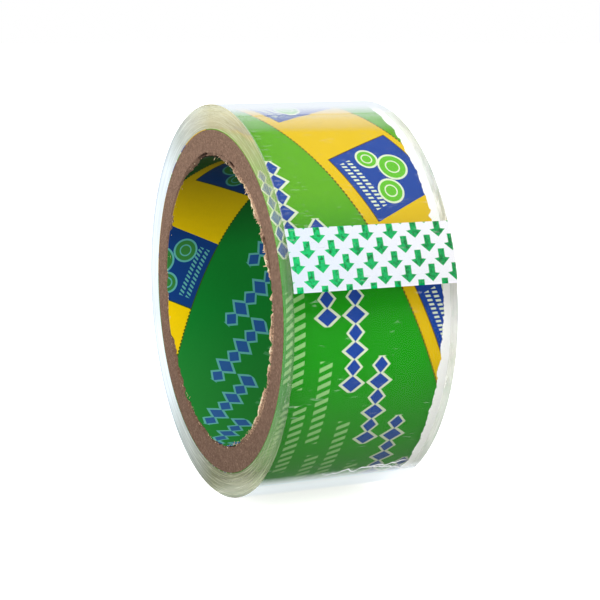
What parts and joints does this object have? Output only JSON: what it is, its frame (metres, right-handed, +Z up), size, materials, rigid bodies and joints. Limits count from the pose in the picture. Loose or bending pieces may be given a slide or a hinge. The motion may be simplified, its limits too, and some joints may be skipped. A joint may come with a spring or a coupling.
{
  "type": "packaging tape roll",
  "caption": "Roll of clear packaging tape on a thick paperboard core, with a peeling lead and a pull tab on the free end.",
  "frame": {"origin": "middle of the core's bore, on its axis and halfway across the tape's width", "axes": "+Y along the bore's axis, +Z up with the roll standing on its tread, +X towards the side that carries the pull tab"},
  "size_m": [0.105, 0.045, 0.105],
  "materials": {
    "kraft_board": "matte",
    "printed_liner": "satin",
    "printed_wrap": "satin",
    "clear_film": "gloss",
    "tab_paper": "satin"
  },
  "bodies": {
    "roll": {"inner_liner": "printed_liner", "core_ply_01": "kraft_board", "core_ply_02": "kraft_board", "core_ply_03": "kraft_board", "core_ply_04": "kraft_board", "core_ply_05": "kraft_board", "core_ply_06": "kraft_board", "core_ply_07": "kraft_board", "core_ply_08": "kraft_board", "core_ply_09": "kraft_board", "core_ply_10": "kraft_board", "core_ply_11": "kraft_board", "core_ply_12": "kraft_board", "outer_wrap": "printed_wrap", "tape_winding": "clear_film"},
    "lead_1": {"tape_lead_1": "clear_film"},
    "lead_2": {"tape_lead_2": "clear_film"},
    "lead_3": {"tape_lead_3": "clear_film"},
    "lead_4": {"tape_lead_4": "clear_film"},
    "lead_5": {"tape_lead_5": "clear_film"},
    "tab": {"pull_tab": "tab_paper", "tape_end": "clear_film"}
  },
  "joints": [
    {"name": "peel_1", "type": "hinge", "parent": "roll", "child": "lead_1", "pos_m": [0.01535, 0, 0.05021], "axis": [0, -1, 0], "range_deg": [0, 18]},
    {"name": "peel_2", "type": "hinge", "parent": "lead_1", "child": "lead_2", "pos_m": [0.02302, 0, 0.0472], "axis": [0, -1, 0], "range_deg": [0, 18]},
    {"name": "peel_3", "type": "hinge", "parent": "lead_2", "child": "lead_3", "pos_m": [0.03012, 0, 0.04301], "axis": [0, -1, 0], "range_deg": [0, 18]},
    {"name": "peel_4", "type": "hinge", "parent": "lead_3", "child": "lead_4", "pos_m": [0.03648, 0, 0.03777], "axis": [0, -1, 0], "range_deg": [0, 18]},
    {"name": "peel_5", "type": "hinge", "parent": "lead_4", "child": "lead_5", "pos_m": [0.04194, 0, 0.0316], "axis": [0, -1, 0], "range_deg": [0, 18]},
    {"name": "tab_lift", "type": "hinge", "parent": "lead_5", "child": "tab", "pos_m": [0.04649, 0, 0.02472], "axis": [0, -1, 0], "range_deg": [0, 120]}
  ],
  "couplings": [
    {"joint": "peel_2", "follows": "peel_1", "ratio": 1},
    {"joint": "peel_3", "follows": "peel_1", "ratio": 1},
    {"joint": "peel_4", "follows": "peel_1", "ratio": 1},
    {"joint": "peel_5", "follows": "peel_1", "ratio": 1}
  ]
}
